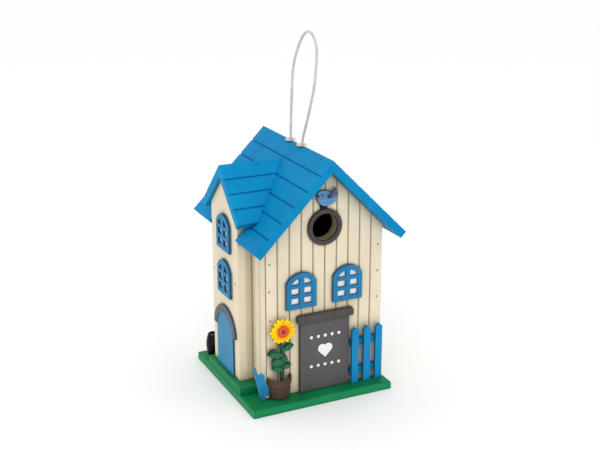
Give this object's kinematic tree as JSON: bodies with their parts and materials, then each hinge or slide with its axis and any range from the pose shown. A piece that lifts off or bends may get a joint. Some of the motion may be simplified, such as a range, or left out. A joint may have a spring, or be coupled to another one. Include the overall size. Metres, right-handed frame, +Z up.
{
  "type": "birdhouse",
  "caption": "Wooden nest box shaped like a small house with a side tower, two gable roofs, a round entrance, a clean-out cover and a cable hanger.",
  "frame": {"origin": "centre of the base board's underside", "axes": "+Z up, -Y out of the front wall with the entrance, +X to the right of someone who looks at the front"},
  "size_m": [0.1968, 0.1945, 0.4268],
  "materials": {
    "green_paint": "satin exterior paint over wood grain",
    "cream_paint": "matte cream paint over grooved softwood",
    "roof_paint": "satin blue paint over grooved softwood",
    "trim_paint": "satin blue paint",
    "door_grey": "matte grey paint",
    "header_grey": "matte dark grey paint",
    "taupe_paint": "satin taupe paint",
    "bird_paint": "brushed light blue paint",
    "wing_paint": "brushed purple paint",
    "dark_paint": "black paint",
    "white_paint": "satin white paint",
    "peck_paint": "brushed blue paint",
    "gold_paint": "pale gold paint",
    "pot_brown": "matte brown paint",
    "leaf_green": "matte green paint",
    "petal_yellow": "yellow paint shading to orange",
    "disc_red": "red-orange paint with a dark middle",
    "barrel_black": "glossy black paint on turned wood",
    "cable_grey": "grey plastic-coated steel cable",
    "washer_metal": "dull plated metal",
    "ferrule_metal": "crimped aluminium",
    "nail_steel": "dull galvanised steel"
  },
  "bodies": {
    "house": {"base_board": "green_paint", "tower_plinth": "green_paint", "front_wall": "cream_paint", "back_wall": "cream_paint", "left_wall": "cream_paint", "right_wall": "cream_paint", "tower_gable_wall": "cream_paint", "tower_cheek_front": "cream_paint", "tower_cheek_rear": "cream_paint", "roof_left": "roof_paint", "roof_right": "roof_paint", "tower_roof_front": "roof_paint", "tower_roof_rear": "roof_paint", "entrance_ring": "taupe_paint", "tower_door_arch": "taupe_paint", "bird_body": "bird_paint", "bird_wing": "wing_paint", "bird_beak_and_eye": "dark_paint", "bird_feet": "dark_paint", "tower_door": "trim_paint", "front_door": "door_grey", "door_header": "header_grey", "door_motif": "white_paint", "fence_rails": "roof_paint", "fence_pickets": "roof_paint", "flower_pot": "pot_brown", "sunflower_stem": "leaf_green", "sunflower_petals": "petal_yellow", "sunflower_disc": "disc_red", "pecking_bird": "peck_paint", "pecking_bird_beak": "gold_paint", "rain_barrel": "barrel_black", "hanger_cable": "cable_grey", "hanger_washers": "washer_metal", "hanger_ferrules": "ferrule_metal", "pivot_screw": "nail_steel", "cover_stops": "cream_paint", "window_left_frame": "trim_paint", "window_left_panes": "white_paint", "window_right_frame": "trim_paint", "window_right_panes": "white_paint", "tower_window_upper_frame": "trim_paint", "tower_window_upper_panes": "white_paint", "tower_window_lower_frame": "trim_paint", "tower_window_lower_panes": "white_paint", "front_wall_nails": "nail_steel", "back_wall_nails": "nail_steel", "tower_wall_nails": "nail_steel", "main_roof_nails": "nail_steel", "tower_roof_nails": "nail_steel"},
    "cover": {"cleanout_cover": "cream_paint", "cover_knob": "roof_paint"}
  },
  "joints": [
    {"name": "cover_swing", "type": "hinge", "parent": "house", "child": "cover", "pos_m": [0.011, 0.0885, 0.116], "axis": [0, -1, 0], "range_deg": [0, 120]}
  ]
}
